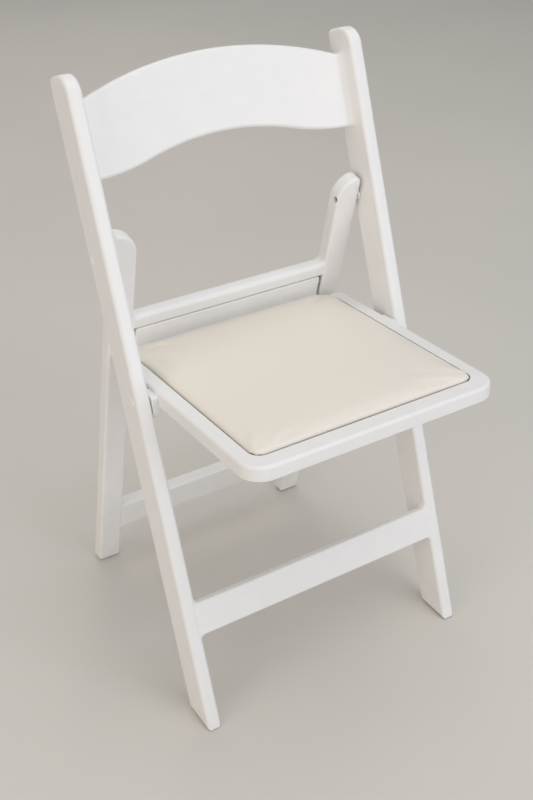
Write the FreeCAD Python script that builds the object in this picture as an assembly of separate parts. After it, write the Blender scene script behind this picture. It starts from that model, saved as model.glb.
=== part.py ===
"""Padded resin folding chair: front frame, swinging rear frame and flip-up seat.

Units are millimetres. X runs across the chair, +Y points to its back, +Z is up.
The origin is on the floor under the middle of the open chair.
Side members are drawn in upright frames of their own and then leaned over:
the front frame leans back, the rear frame leans forward and the seat tips back.
"""
import FreeCAD, Part
import math
import os

os.makedirs("parts", exist_ok=True)
V = FreeCAD.Vector

# ---------------------------------------------------------------- driving sizes
FRAME_W = 430.0            # over the outer faces of the two front rails
RAIL_W = 20.0              # front rail, across the chair
RAIL_D = 52.0              # front rail, front face to back face
RAIL_LEAN = 21.0           # lean of the front rails from upright, degrees
RAIL_TOP = 880.9           # length along the lean from floor to the rail end
RAIL_NOSE = 26.0           # radius of the rail's front top corner
RAIL_HEEL = 8.0            # radius of the rail's back top corner
RAIL_SOFT = 5.0            # rounding of the rail's long edges
FRONT_FOOT_Y = -179.5      # front face of the front rails where it meets the floor

BACK_LOW = 749.4           # backrest at the rails: lower edge, along the lean
BACK_HIGH = 844.9          # backrest at the rails: upper edge, along the lean
BACK_LOW_RISE = 28.2       # rise of the lower edge at mid span
BACK_HIGH_RISE = 38.0      # rise of the upper edge at mid span
BACK_IN = 25.0             # backrest face behind the rail's front face, at the rails
BACK_BOW = 11.0            # extra set-back of the backrest face at mid span
BACK_T = 17.0              # backrest thickness
BACK_LOW_ARCH = 380.0      # radius of the lower edge's middle arch; its ends curve the other way
BACK_SOFT = 5.0
BACK_BLEND = 8.0           # blend of the backrest into the rails

STRETCH_LOW = 138.3        # front stretcher, lower edge along the lean
STRETCH_HIGH = 185.6       # front stretcher, upper edge along the lean
STRETCH_T = 14.0
STRETCH_SET = 0.6          # stretcher face behind the rails' front faces
STRETCH_FILLET = 7.0       # blend of the stretcher into the rails
STRETCH_SOFT = 2.5

LEG_OUT = 191.0            # outer face of a rear leg from the centre plane
LEG_IN = 155.0             # inner face of a rear leg from the centre plane
LEG_T = 21.0               # rear leg, front face to back face
LEG_LEAN = 12.4            # forward lean of the rear legs from upright, degrees
LEG_FOOT_Y = 218.05         # front face of the rear legs where it meets the floor
LEG_TOP = 641.1            # length along the lean from floor to the leg end
LEG_TOP_IN = 33.0          # radius of the leg's long inner shoulder
LEG_TOP_OUT = 9.0          # radius of the leg's outer top corner
LEG_SOFT = 4.0

CROSS_LOW = 480.9          # upper cross rail, lower edge along the leg
CROSS_HIGH = 501.2         # upper cross rail, upper edge along the leg
CROSS_SET = 0.5            # cross boards' faces inside the legs' faces
CROSS_BLEND = 9.0
CROSS_SOFT = 5.0           # rounding of the cross rail's top edges
CROSS_UNDER_SOFT = 1.5
REAR_LOW = 68.6            # lower stretcher of the rear frame
REAR_HIGH = 118.1
REAR_FILLET = 7.0
REAR_SOFT = 3.0

SEAT_HALF = 185.2          # half width of the seat
SEAT_FRONT_Y = -237.55      # front edge of the seat
SEAT_FRONT_Z = 464.5       # top of the seat at its front edge
SEAT_TIP = 4.2             # fall of the seat towards the back, degrees
SEAT_T = 20.5
SEAT_CORNER = 31.0
SEAT_BACK_CORNER = 348.0   # seat depth beside the rear legs
SEAT_REAR_R = 8.0          # corner radius beside the rear legs
SEAT_SOFT = 4.0            # rounding of the top edge
SEAT_UNDER_SOFT = 2.5      # rounding of the bottom edge
SHELL_T = 4.0              # resin floor under the cushion recess
SKIRT_T = 8.0              # resin wall round the seat
RIB_T = 3.6
RIBS_ACROSS = 4
RIBS_ALONG = 4

PAD_HALF = 165.5           # cushion half width
PAD_FRONT = 24.0           # cushion front edge behind the seat's front edge
PAD_BACK = 352.0
PAD_FRONT_R = 17.0
PAD_BACK_R = 26.0
PAD_EDGE = 8.5             # cushion edge above the seat rim
PAD_CROWN = 3.4            # extra height at the middle of the cushion
RECESS = 5.0               # depth of the recess under the cushion
RECESS_GAP = 0.6           # groove round the cushion
BOARD_T = 2.6              # stiff board inside the bottom of the cushion

LIP_HALF = 150.0           # half width of the raised back lip
LIP_LOW = 427.6            # lip, lower edge along the rear leg
LIP_HIGH = 479.1           # lip, upper edge along the rear leg
LIP_T = 16.0
LIP_CORNER = 4.0
LIP_SOFT = 1.5

PIVOT_Y = 92.45             # rear leg pivot
PIVOT_Z = 597.0
HINGE_Y = 1.45              # seat pivot
HINGE_Z = 437.0
PIN_R = 4.0
PIN_PLAY = 0.05            # radial play of a running pin
CAP_R = 5.6                # domed rivet head
CAP_H = 1.3
SPACER_R = 6.0
BLOCK_T = 9.2              # hinge block between seat and rail
BLOCK_HALF = 15.0
BLOCK_LOW = -34.5          # block, lower edge below the seat rim
BLOCK_HIGH = -5.0
BLOCK_CORNER = 5.0
BLOCK_EDGE = 1.2

ROD_ALONG = 465.4          # slide rod along the rear leg when the chair is open
ROD_DEEP = 9.0             # slide rod behind the leg's front face
ROD_R = 3.0
BUSH_R = 5.0
BUSH_END = 154.2           # outer end of a slide bush; the leg face is at LEG_IN
GROOVE_LOW = 295.1
GROOVE_HIGH = 479.1
GROOVE_W = 11.0
GROOVE_D = 6.0

GLIDE_H = 1.5
GLIDE_R = 6.5
NAIL_R = 1.6
NAIL_H = 9.0

SCREW_X = 107.0            # cushion screws, from the centre plane
SCREW_Y = 98.0             # cushion screws, in front of and behind the cushion's middle
SCREW_R = 1.7
SCREW_HEAD_R = 3.6
SCREW_HEAD_H = 2.2
POST_R = 6.0               # resin post round each screw

# ---------------------------------------------------------------- helpers


def write(shape, name):
    """Write one checked solid to its own file."""
    if not shape.isValid():
        raise ValueError(name + " is not a valid shape")
    shape.exportStep("parts/" + name + ".step")


def lean_front(shape):
    """Lean a front-frame shape back about the foot line of the rails."""
    shape = shape.copy()
    shape.rotate(V(0, 0, 0), V(1, 0, 0), -RAIL_LEAN)
    shape.translate(V(0, FRONT_FOOT_Y, 0))
    return shape


def lean_rear(shape):
    """Lean a rear-frame shape forward about the foot line of the legs."""
    shape = shape.copy()
    shape.rotate(V(0, 0, 0), V(1, 0, 0), LEG_LEAN)
    shape.translate(V(0, LEG_FOOT_Y, 0))
    return shape


def tip_seat(shape):
    """Tip a seat shape about the seat's front top edge."""
    shape = shape.copy()
    shape.rotate(V(0, 0, 0), V(1, 0, 0), -SEAT_TIP)
    shape.translate(V(0, SEAT_FRONT_Y, SEAT_FRONT_Z))
    return shape


def mirrored(shape):
    """The same piece on the other side of the chair."""
    return shape.mirror(V(0, 0, 0), V(1, 0, 0))


def box(x0, x1, y0, y1, z0, z1):
    """Solid box between two corners."""
    return Part.makeBox(x1 - x0, y1 - y0, z1 - z0, V(x0, y0, z0))


def bar(radius, x0, x1, y, z):
    """Round bar lying across the chair."""
    return Part.makeCylinder(radius, x1 - x0, V(x0, y, z), V(1, 0, 0))


def arc(centre, radius, start, end, plane):
    """Arc edge in the XZ, YZ or XY plane; angles in degrees from the first axis."""
    def at(angle):
        a = math.radians(angle)
        u = radius * math.cos(a)
        w = radius * math.sin(a)
        if plane == "XZ":
            return centre + V(u, 0, w)
        if plane == "YZ":
            return centre + V(0, u, w)
        return centre + V(u, w, 0)
    return Part.Arc(at(start), at(0.5 * (start + end)), at(end)).toShape()


def line(a, b):
    """Straight edge."""
    return Part.LineSegment(a, b).toShape()


def face(edges):
    """Flat face from edges given in order."""
    return Part.Face(Part.Wire(Part.__sortEdges__(edges)))


def soften(solid, radius, pick):
    """Round the edges that pick() accepts."""
    edges = [e for e in solid.Edges if pick(e)]
    return solid.makeFillet(radius, edges)


def on_plane(edge, axis, value):
    """True when the whole edge lies on one coordinate plane."""
    b = edge.BoundBox
    low = (b.XMin, b.YMin, b.ZMin)[axis]
    high = (b.XMax, b.YMax, b.ZMax)[axis]
    return abs(low - value) < 1e-3 and abs(high - value) < 1e-3


def along_z(edge):
    """True for a straight upright edge."""
    b = edge.BoundBox
    return b.ZLength > 1.0 and b.XLength < 1e-3 and b.YLength < 1e-3


def floor_cut(deep):
    """Everything below the underside of the feet, to be cut away."""
    return box(-400, 400, -400, 400, -200, deep)


def front_point(deep, along):
    """Chair position of a point given in the front rail's own frame."""
    a = math.radians(RAIL_LEAN)
    y = FRONT_FOOT_Y + along * math.sin(a) + deep * math.cos(a)
    return y, along * math.cos(a) - deep * math.sin(a)


def rear_point(deep, along):
    """Chair position of a point given in the rear leg's own frame."""
    a = math.radians(LEG_LEAN)
    y = LEG_FOOT_Y - along * math.sin(a) + deep * math.cos(a)
    return y, along * math.cos(a) + deep * math.sin(a)


# ---------------------------------------------------------------- front frame
RAIL_IN = FRAME_W / 2 - RAIL_W


def rail():
    """Front rail: a flat bar with a rounded top, standing on a level foot."""
    back = RAIL_D
    top = RAIL_TOP
    low = -40.0
    nose = V(RAIL_IN, RAIL_NOSE, top - RAIL_NOSE)
    heel = V(RAIL_IN, back - RAIL_HEEL, top - RAIL_HEEL)
    edges = [
        line(V(RAIL_IN, 0, low), V(RAIL_IN, 0, top - RAIL_NOSE)),
        arc(nose, RAIL_NOSE, 180, 90, "YZ"),
        line(V(RAIL_IN, RAIL_NOSE, top), V(RAIL_IN, back - RAIL_HEEL, top)),
        arc(heel, RAIL_HEEL, 90, 0, "YZ"),
        line(V(RAIL_IN, back, top - RAIL_HEEL), V(RAIL_IN, back, low)),
        line(V(RAIL_IN, back, low), V(RAIL_IN, 0, low)),
    ]
    solid = face(edges).extrude(V(RAIL_W, 0, 0))
    solid = soften(solid, RAIL_SOFT, lambda e: e.BoundBox.XLength < 1e-3 and e.BoundBox.ZMax > 0)
    solid = lean_front(solid).cut(floor_cut(GLIDE_H))
    solid = solid.cut(bar(PIN_R, 0, 300, PIVOT_Y, PIVOT_Z))
    solid = solid.cut(bar(PIN_R, 0, 300, HINGE_Y, HINGE_Z))
    return solid.cut(nail(front_foot_middle(), RAIL_IN + RAIL_W / 2))


def front_foot_middle():
    """Front-to-back middle of a front foot at the floor."""
    return FRONT_FOOT_Y + 0.5 * RAIL_D / math.cos(math.radians(RAIL_LEAN))


def rear_foot_middle():
    """Front-to-back middle of a rear foot at the floor."""
    return LEG_FOOT_Y + 0.5 * LEG_T / math.cos(math.radians(LEG_LEAN))


def nail(y, x):
    """Shank of a nail-on foot glide."""
    return Part.makeCylinder(NAIL_R, NAIL_H, V(x, y, GLIDE_H), V(0, 0, 1))


def glide(y, x):
    """Nail-on foot glide: low disc with its shank."""
    disc = Part.makeCylinder(GLIDE_R, GLIDE_H, V(x, y, 0), V(0, 0, 1))
    disc = soften(disc, 0.7, lambda e: on_plane(e, 2, 0.0))
    return disc.fuse(nail(y, x)).removeSplitter()


def blended_board(half, low, high, y0, y1, fillet):
    """Cross board between two side members, flared with a small radius at each end."""
    inner = half - fillet
    edges = [
        line(V(-inner, y0, high), V(inner, y0, high)),
        arc(V(inner, y0, high + fillet), fillet, -90, 0, "XZ"),
        line(V(half, y0, high + fillet), V(half, y0, low - fillet)),
        arc(V(inner, y0, low - fillet), fillet, 0, 90, "XZ"),
        line(V(inner, y0, low), V(-inner, y0, low)),
        arc(V(-inner, y0, low - fillet), fillet, 90, 180, "XZ"),
        line(V(-half, y0, low - fillet), V(-half, y0, high + fillet)),
        arc(V(-inner, y0, high + fillet), fillet, 180, 270, "XZ"),
    ]
    return face(edges).extrude(V(0, y1 - y0, 0))


def long_edge(edge, half):
    """True for an outline edge of a cross board, away from its end faces."""
    b = edge.BoundBox
    return b.YLength < 1e-3 and b.XLength > 1.0 and b.XMax <= half + 1e-3


def blended_arch(end, rise, blend, side, plane):
    """Arch across the back between the rails, with a small blend at each rail.

    side is +1 where the blends lie outside the arch's circle and -1 where they
    lie inside it. Returns the edges and the height where they meet the rails.
    """
    half = RAIL_IN
    radius = (half * half + rise * rise) / (2 * rise)
    middle = end + rise - radius
    reach = radius + side * blend
    level = middle + math.sqrt(reach ** 2 - (half - blend) ** 2)
    swing = math.degrees(math.asin((half - blend) / reach))
    near = 90 - swing if side < 0 else 270 - swing
    start = 0 if side < 0 else 360

    def at(x, height):
        return V(x, 0, height) if plane == "XZ" else V(x, height, 0)

    edges = [
        arc(at(0, middle), radius, 90 - swing, 90 + swing, plane),
        arc(at(half - blend, level), blend, start, near, plane),
        arc(at(blend - half, level), blend, 180 - start, 180 - near, plane),
    ]
    return edges, level


def ogee_edge():
    """Lower edge of the backrest: an arch whose ends curve back to run level at the rails."""
    half = RAIL_IN
    both = (half * half + BACK_LOW_RISE * BACK_LOW_RISE) / (2 * BACK_LOW_RISE)
    end_r = both - BACK_LOW_ARCH
    swing = math.degrees(math.asin(half / both))
    middle = V(0, 0, BACK_LOW + BACK_LOW_RISE - BACK_LOW_ARCH)
    end_z = BACK_LOW + end_r
    return [
        arc(middle, BACK_LOW_ARCH, 90 - swing, 90 + swing, "XZ"),
        arc(V(half, 0, end_z), end_r, 270 - swing, 270, "XZ"),
        arc(V(-half, 0, end_z), end_r, 270, 270 + swing, "XZ"),
    ]


def backrest():
    """Arched and gently dished back panel between the tops of the rails."""
    half = RAIL_IN
    high_edges, high = blended_arch(BACK_HIGH, BACK_HIGH_RISE, BACK_BLEND, 1, "XZ")
    low_edges = ogee_edge()
    sides = [line(V(x, 0, BACK_LOW), V(x, 0, high)) for x in (-half, half)]
    outline = face(high_edges + low_edges + sides).extrude(V(0, 120, 0))

    front_edges, near = blended_arch(BACK_IN, BACK_BOW, BACK_BLEND, -1, "XY")
    bow = (half * half + BACK_BOW * BACK_BOW) / (2 * BACK_BOW)
    centre_y = BACK_IN + BACK_BOW - bow
    far = centre_y + math.sqrt((bow + BACK_T) ** 2 - half ** 2)
    swing = math.degrees(math.asin(half / (bow + BACK_T)))
    rear_edge = arc(V(0, centre_y, 0), bow + BACK_T, 90 - swing, 90 + swing, "XY")
    ends = [line(V(x, near, 0), V(x, far, 0)) for x in (-half, half)]
    plan = face(front_edges + [rear_edge] + ends)
    plan.translate(V(0, 0, 600))
    panel = outline.common(plan.extrude(V(0, 0, 400)))
    panel = soften(panel, BACK_SOFT, lambda e: e.BoundBox.XLength > 3)
    return lean_front(panel)


def front_stretcher():
    """Flat board low between the front rails, level with their front faces."""
    board = blended_board(RAIL_IN, STRETCH_LOW, STRETCH_HIGH, STRETCH_SET, STRETCH_SET + STRETCH_T,
                          STRETCH_FILLET)
    board = soften(board, STRETCH_SOFT, lambda e: long_edge(e, RAIL_IN))
    return lean_front(board)


def pin(inner_x, y, z):
    """Steel pin with a domed head seated on the outer face of a rail."""
    face_x = FRAME_W / 2
    ball = (CAP_R * CAP_R + CAP_H * CAP_H) / (2 * CAP_H)
    dome = Part.makeSphere(ball, V(face_x + CAP_H - ball, y, z))
    dome = dome.common(box(face_x, face_x + 10, y - 20, y + 20, z - 20, z + 20))
    return dome.fuse(bar(PIN_R, inner_x, face_x, y, z)).removeSplitter()


# ---------------------------------------------------------------- rear frame


def rear_leg():
    """Rear leg: a flat bar with a rounded top, a pivot bore and a slide groove."""
    low = -30.0
    outer = V(LEG_OUT - LEG_TOP_OUT, 0, LEG_TOP - LEG_TOP_OUT)
    inner_x = LEG_IN + LEG_TOP_IN
    reach = LEG_TOP_IN - LEG_TOP_OUT
    inner = V(inner_x, 0, outer.z - math.sqrt(reach ** 2 - (inner_x - outer.x) ** 2))
    meet = math.degrees(math.atan2(outer.z - inner.z, outer.x - inner.x))
    edges = [
        line(V(LEG_IN, 0, low), V(LEG_IN, 0, inner.z)),
        arc(inner, LEG_TOP_IN, 180, meet, "XZ"),
        arc(outer, LEG_TOP_OUT, meet, 0, "XZ"),
        line(V(LEG_OUT, 0, outer.z), V(LEG_OUT, 0, low)),
        line(V(LEG_OUT, 0, low), V(LEG_IN, 0, low)),
    ]
    solid = face(edges).extrude(V(0, LEG_T, 0))
    solid = soften(solid, LEG_SOFT, lambda e: e.BoundBox.YLength < 1e-3 and e.BoundBox.ZMax > 0)
    groove = box(LEG_IN - 5, LEG_IN + GROOVE_D, ROD_DEEP - GROOVE_W / 2, ROD_DEEP + GROOVE_W / 2,
                 GROOVE_LOW, GROOVE_HIGH)
    groove = soften(groove, 0.49 * GROOVE_W, lambda e: e.BoundBox.XLength > 5)
    solid = lean_rear(solid.cut(groove)).cut(floor_cut(GLIDE_H))
    solid = solid.cut(bar(PIN_R + PIN_PLAY, LEG_IN + 4, 300, PIVOT_Y, PIVOT_Z))
    solid = solid.cut(bar(0.7 * PIN_R, 0, 300, PIVOT_Y, PIVOT_Z))
    return solid.cut(nail(rear_foot_middle(), 0.5 * (LEG_IN + LEG_OUT)))


def cross_rail():
    """Slim rounded rail tying the rear legs together behind the seat."""
    rail_bar = blended_board(LEG_IN, CROSS_LOW, CROSS_HIGH, CROSS_SET, LEG_T - CROSS_SET, CROSS_BLEND)
    rail_bar = rail_bar.cut(box(-400, 400, -10, 40, CROSS_LOW - 20, CROSS_LOW))
    rail_bar = soften(rail_bar, CROSS_SOFT,
                      lambda e: long_edge(e, LEG_IN) and e.BoundBox.ZMin > CROSS_LOW + 5)
    rail_bar = soften(rail_bar, CROSS_UNDER_SOFT,
                      lambda e: long_edge(e, LEG_IN) and e.BoundBox.ZMax < CROSS_LOW + 1)
    return lean_rear(rail_bar)


def rear_stretcher():
    """Flat board low between the rear legs."""
    board = blended_board(LEG_IN, REAR_LOW, REAR_HIGH, CROSS_SET, LEG_T - CROSS_SET, REAR_FILLET)
    board = soften(board, REAR_SOFT, lambda e: long_edge(e, LEG_IN))
    return lean_rear(board)


def spacer():
    """Washer that keeps a rear leg off its front rail."""
    ring = bar(SPACER_R, LEG_OUT, RAIL_IN - 0.3, PIVOT_Y, PIVOT_Z)
    return ring.cut(bar(PIN_R + PIN_PLAY, 0, 300, PIVOT_Y, PIVOT_Z))


# ---------------------------------------------------------------- seat


def rounded_plate(half, y0, y1, z0, z1, front_r, back_r):
    """Flat plate with its own corner radius at the front and at the back."""
    edges = [
        line(V(-half + front_r, y0, z0), V(half - front_r, y0, z0)),
        arc(V(half - front_r, y0 + front_r, z0), front_r, -90, 0, "XY"),
        line(V(half, y0 + front_r, z0), V(half, y1 - back_r, z0)),
        arc(V(half - back_r, y1 - back_r, z0), back_r, 0, 90, "XY"),
        line(V(half - back_r, y1, z0), V(-half + back_r, y1, z0)),
        arc(V(-half + back_r, y1 - back_r, z0), back_r, 90, 180, "XY"),
        line(V(-half, y1 - back_r, z0), V(-half, y0 + front_r, z0)),
        arc(V(-half + front_r, y0 + front_r, z0), front_r, 180, 270, "XY"),
    ]
    return face(edges).extrude(V(0, 0, z1 - z0))


def seat_pan():
    """Moulded seat: rounded rim, cushion recess above, ribbed pocket below."""
    pan = rounded_plate(SEAT_HALF, 0, SEAT_BACK_CORNER, -SEAT_T, 0, SEAT_CORNER, SEAT_REAR_R)
    pan = soften(pan, SEAT_SOFT, lambda e: on_plane(e, 2, 0.0))
    pan = soften(pan, SEAT_UNDER_SOFT, lambda e: on_plane(e, 2, -SEAT_T))
    tail = box(-LIP_HALF, LIP_HALF, SEAT_BACK_CORNER - 20, SEAT_BACK_CORNER + 60, -SEAT_T, -0.01)
    pan = pan.fuse(tail).removeSplitter()
    gap = RECESS_GAP
    pan = pan.cut(rounded_plate(PAD_HALF + gap, PAD_FRONT - gap, PAD_BACK + gap, -RECESS, 5,
                                PAD_FRONT_R + gap, PAD_BACK_R + gap))
    inner_x = SEAT_HALF - SKIRT_T
    y0 = SKIRT_T
    y1 = SEAT_BACK_CORNER - SKIRT_T
    pocket = rounded_plate(inner_x, y0, y1, -SEAT_T - 5, -RECESS - SHELL_T, SEAT_CORNER - SKIRT_T, 4.0)
    for i in range(1, RIBS_ACROSS + 1):
        y = y0 + (y1 - y0) * i / (RIBS_ACROSS + 1)
        pocket = pocket.cut(box(-300, 300, y - RIB_T / 2, y + RIB_T / 2, -60, 20))
    for i in range(1, RIBS_ALONG + 1):
        x = -inner_x + 2 * inner_x * i / (RIBS_ALONG + 1)
        pocket = pocket.cut(box(x - RIB_T / 2, x + RIB_T / 2, -100, 500, -60, 20))
    for x, y in screw_places():
        pocket = pocket.cut(Part.makeCylinder(POST_R, 60, V(x, y, -50)))
        pan = pan.cut(Part.makeCylinder(SCREW_R, 60, V(x, y, -50)))
        pan = pan.cut(Part.makeCylinder(SCREW_HEAD_R, 60, V(x, y, -RECESS - SHELL_T - 60)))
    pan = tip_seat(pan.cut(pocket))
    behind = lean_rear(box(-400, 400, 0, 200, -100, 900))
    pan = pan.cut(behind)
    return pan.cut(bar(PIN_R + PIN_PLAY, -300, 300, HINGE_Y, HINGE_Z))


def screw_places():
    """Seat-frame positions of the four cushion screws."""
    middle = 0.5 * (PAD_FRONT + PAD_BACK)
    return [(sx * SCREW_X, middle + sy * SCREW_Y) for sx in (-1, 1) for sy in (-1, 1)]


def cushion_screws():
    """Four pan-head screws holding the cushion board down."""
    screws = []
    for x, y in screw_places():
        under = -RECESS - SHELL_T
        shank = Part.makeCylinder(SCREW_R, SHELL_T + BOARD_T - 0.6, V(x, y, under))
        head = Part.makeCylinder(SCREW_HEAD_R - 0.3, SCREW_HEAD_H, V(x, y, under - SCREW_HEAD_H))
        screws.append(tip_seat(shank.fuse(head).removeSplitter()))
    return Part.makeCompound(screws)


def cushion_board():
    """Stiff board under the foam, seated on the floor of the recess."""
    board = rounded_plate(PAD_HALF - 2, PAD_FRONT + 2, PAD_BACK - 2, -RECESS, -RECESS + BOARD_T,
                          PAD_FRONT_R - 2, PAD_BACK_R - 2)
    for x, y in screw_places():
        board = board.cut(Part.makeCylinder(SCREW_R, SHELL_T + BOARD_T - 0.6, V(x, y, -RECESS - SHELL_T)))
    return tip_seat(board)


def cushion():
    """Vinyl covered foam pad with a low crown and soft edges."""
    z0 = -RECESS + BOARD_T
    pad = rounded_plate(PAD_HALF, PAD_FRONT, PAD_BACK, z0, 40, PAD_FRONT_R, PAD_BACK_R)
    span = math.hypot(PAD_HALF, 0.5 * (PAD_BACK - PAD_FRONT))
    crown_r = (span * span + PAD_CROWN * PAD_CROWN) / (2 * PAD_CROWN)
    top = PAD_EDGE + PAD_CROWN
    ball = Part.makeSphere(crown_r, V(0, 0.5 * (PAD_FRONT + PAD_BACK), top - crown_r))
    pad = pad.common(ball)
    pad = soften(pad, 6.0, lambda e: e.BoundBox.ZMin > 3.0 and not along_z(e))
    return tip_seat(pad)


def seat_lip():
    """Raised board across the back of the seat; it stops under the cross rail."""
    lip = box(-LIP_HALF, LIP_HALF, 0, LIP_T, LIP_LOW, LIP_HIGH)
    lip = soften(lip, LIP_CORNER, lambda e: e.BoundBox.YLength > 5 and e.BoundBox.ZMin > LIP_LOW + 5)
    lip = soften(lip, LIP_SOFT, lambda e: on_plane(e, 1, 0.0) and e.BoundBox.ZMin > LIP_HIGH - 5)
    lip = lip.cut(bar(ROD_R, -300, 300, ROD_DEEP, ROD_ALONG))
    return lean_rear(lip)


def slide_rod():
    """Steel rod through the lip; its ends ride in the grooves of the rear legs."""
    return lean_rear(bar(ROD_R, -BUSH_END, BUSH_END, ROD_DEEP, ROD_ALONG))


def rod_bush():
    """Nylon bush on one end of the slide rod."""
    ring = bar(BUSH_R, LIP_HALF, BUSH_END, ROD_DEEP, ROD_ALONG)
    return lean_rear(ring.cut(bar(ROD_R, 0, 300, ROD_DEEP, ROD_ALONG)))


def hinge_block():
    """Block on the side of the seat that carries the seat pivot."""
    middle = seat_place(HINGE_Y, HINGE_Z)[0]
    outer = SEAT_HALF + BLOCK_T
    block = box(SEAT_HALF, outer, middle - BLOCK_HALF, middle + BLOCK_HALF, BLOCK_LOW, BLOCK_HIGH)
    block = soften(block, BLOCK_CORNER, lambda e: e.BoundBox.XLength > BLOCK_T - 1)
    block = soften(block, BLOCK_EDGE, lambda e: on_plane(e, 0, outer))
    block = tip_seat(block)
    return block.cut(bar(PIN_R + PIN_PLAY, 0, 300, HINGE_Y, HINGE_Z))


def seat_place(y, z):
    """Seat-frame position of a chair point: depth from the front edge, height."""
    a = math.radians(SEAT_TIP)
    dy = y - SEAT_FRONT_Y
    dz = z - SEAT_FRONT_Z
    return dy * math.cos(a) - dz * math.sin(a), dy * math.sin(a) + dz * math.cos(a)


# ---------------------------------------------------------------- write the pieces
FRONT_GLIDE_X = RAIL_IN + RAIL_W / 2
REAR_GLIDE_X = 0.5 * (LEG_IN + LEG_OUT)

pairs = {
    "rail": rail(),
    "front_glide": glide(front_foot_middle(), FRONT_GLIDE_X),
    "leg_pin": pin(LEG_IN + 4.5, PIVOT_Y, PIVOT_Z),
    "seat_pin": pin(SEAT_HALF - SKIRT_T + 1.0, HINGE_Y, HINGE_Z),
    "rear_leg": rear_leg(),
    "rear_glide": glide(rear_foot_middle(), REAR_GLIDE_X),
    "spacer": spacer(),
    "hinge_block": hinge_block(),
    "rod_bush": rod_bush(),
}
for name, shape in pairs.items():
    write(shape, "right_" + name)
    write(mirrored(shape), "left_" + name)

singles = {
    "backrest": backrest(),
    "front_stretcher": front_stretcher(),
    "rear_cross_rail": cross_rail(),
    "rear_stretcher": rear_stretcher(),
    "seat_pan": seat_pan(),
    "seat_lip": seat_lip(),
    "cushion": cushion(),
    "cushion_board": cushion_board(),
    "cushion_screws": cushion_screws(),
    "slide_rod": slide_rod(),
}
for name, shape in singles.items():
    write(shape, name)
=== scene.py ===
"""The looks of a padded resin folding chair, built around its fixed CAD frame.

Every piece is worked out in the upright frame of its own body and then leaned
into place. All sizes are in metres.
"""

import math
from functools import partial

import bmesh
import bpy
import numpy as np
from mathutils import Matrix, Vector
from mathutils.geometry import tessellate_polygon


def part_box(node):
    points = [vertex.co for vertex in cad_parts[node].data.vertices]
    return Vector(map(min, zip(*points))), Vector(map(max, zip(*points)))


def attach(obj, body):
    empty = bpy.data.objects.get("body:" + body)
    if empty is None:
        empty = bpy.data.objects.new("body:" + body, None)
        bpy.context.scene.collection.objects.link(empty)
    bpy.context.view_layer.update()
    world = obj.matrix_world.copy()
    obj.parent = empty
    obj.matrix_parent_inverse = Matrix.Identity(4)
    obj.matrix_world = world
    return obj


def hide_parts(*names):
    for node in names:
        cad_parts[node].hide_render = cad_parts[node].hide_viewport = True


bl_info = {
    "name": "Padded folding chair",
    "version": (1, 0, 0),
    "blender": (4, 5, 0),
    "location": "View3D > Sidebar > Chair",
    "description": "Builds the moulded frame, seat, cushion and hardware of a folding chair",
    "category": "Object",
}

MM = 0.001

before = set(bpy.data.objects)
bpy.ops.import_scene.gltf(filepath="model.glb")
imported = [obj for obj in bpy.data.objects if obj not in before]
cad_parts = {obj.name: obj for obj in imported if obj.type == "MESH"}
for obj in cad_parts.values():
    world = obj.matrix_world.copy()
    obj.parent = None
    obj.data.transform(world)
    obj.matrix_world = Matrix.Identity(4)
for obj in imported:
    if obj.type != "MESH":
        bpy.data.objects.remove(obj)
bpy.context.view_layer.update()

# Sizes of the frame that its boxes don't tell.
PIN_SHANK = 3.95 * MM           # radius of the pins inside the rails
GROOVE_DOWN = 170.3 * MM        # how far the slide groove runs below the rod and above it
GROOVE_UP = 13.7 * MM
ROD_RADIUS = 3 * MM
SCREW_HEAD = 3.3 * MM           # radius of a cushion screw's head
BOARD_FLARE = 7 * MM            # how far the stretchers widen at their ends
CROSS_FLARE = 9 * MM            # how far the cross rail rises at its ends
BACK_THICK = 17 * MM
BACK_SET = 25 * MM              # from the rails' front to the back panel's ends
BACK_BOW = 11 * MM              # how much deeper the panel's middle sits
BACK_LOW_RISE = 28.2 * MM
BACK_LOW_RADIUS = 380 * MM      # of the lower edge's middle arch
BACK_HIGH_RISE = 38 * MM
SEAT_CORNER = 31 * MM
SEAT_REAR_CORNER = 8 * MM
SEAT_SHOULDER = 348 * MM        # from the seat's front to its rear corners
SEAT_TAIL = 150 * MM            # half the width of the part behind them
SEAT_WALL = 8 * MM              # thickness of the skirt
RECESS = 5 * MM
RECESS_GAP = 0.6 * MM           # between the cushion's outline and the recess
DECK = 9 * MM                   # from the rim's top to the pocket's ceiling
RIB = 3.6 * MM
PAD_FRONT_CORNER = 17 * MM
PAD_BACK_CORNER = 26 * MM

# ---------------------------------------------------------------- frames of the three bodies
# Each body was drawn upright and then turned about the X axis by this angle, in degrees.
TURN = {"front_frame": -21.0, "rear_frame": 12.4, "seat": -4.2}
SIDES = {"left": -1.0, "right": 1.0}


def turn_matrix(body):
    """Rotation about X that takes a point from the body's upright frame to the chair's."""
    return np.array(Matrix.Rotation(math.radians(TURN[body]), 3, "X"))


def upright_box(node, body):
    """Lowest and highest corner of a CAD node in the upright frame of its body."""
    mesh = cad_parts[node].data
    points = np.zeros(len(mesh.vertices) * 3)
    mesh.vertices.foreach_get("co", points)
    points = points.reshape(-1, 3) @ turn_matrix(body)
    return points.min(0), points.max(0)


# ---------------------------------------------------------------- settings
def length(name, text, value):
    """A length setting in metres."""
    return bpy.props.FloatProperty(name=name, description=text, default=value, min=0,
                                   precision=4, unit="LENGTH", subtype="DISTANCE")


def srgb(code):
    """Linear colour of an sRGB hex code: c / 12.92 below 0.04045, else ((c + 0.055) / 1.055) ** 2.4."""
    parts = np.array([int(code[i:i + 2], 16) for i in (1, 3, 5)]) / 255
    linear = np.where(parts <= 0.04045, parts / 12.92, ((parts + 0.055) / 1.055) ** 2.4)
    return (*[float(c) for c in linear], 1.0)


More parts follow.
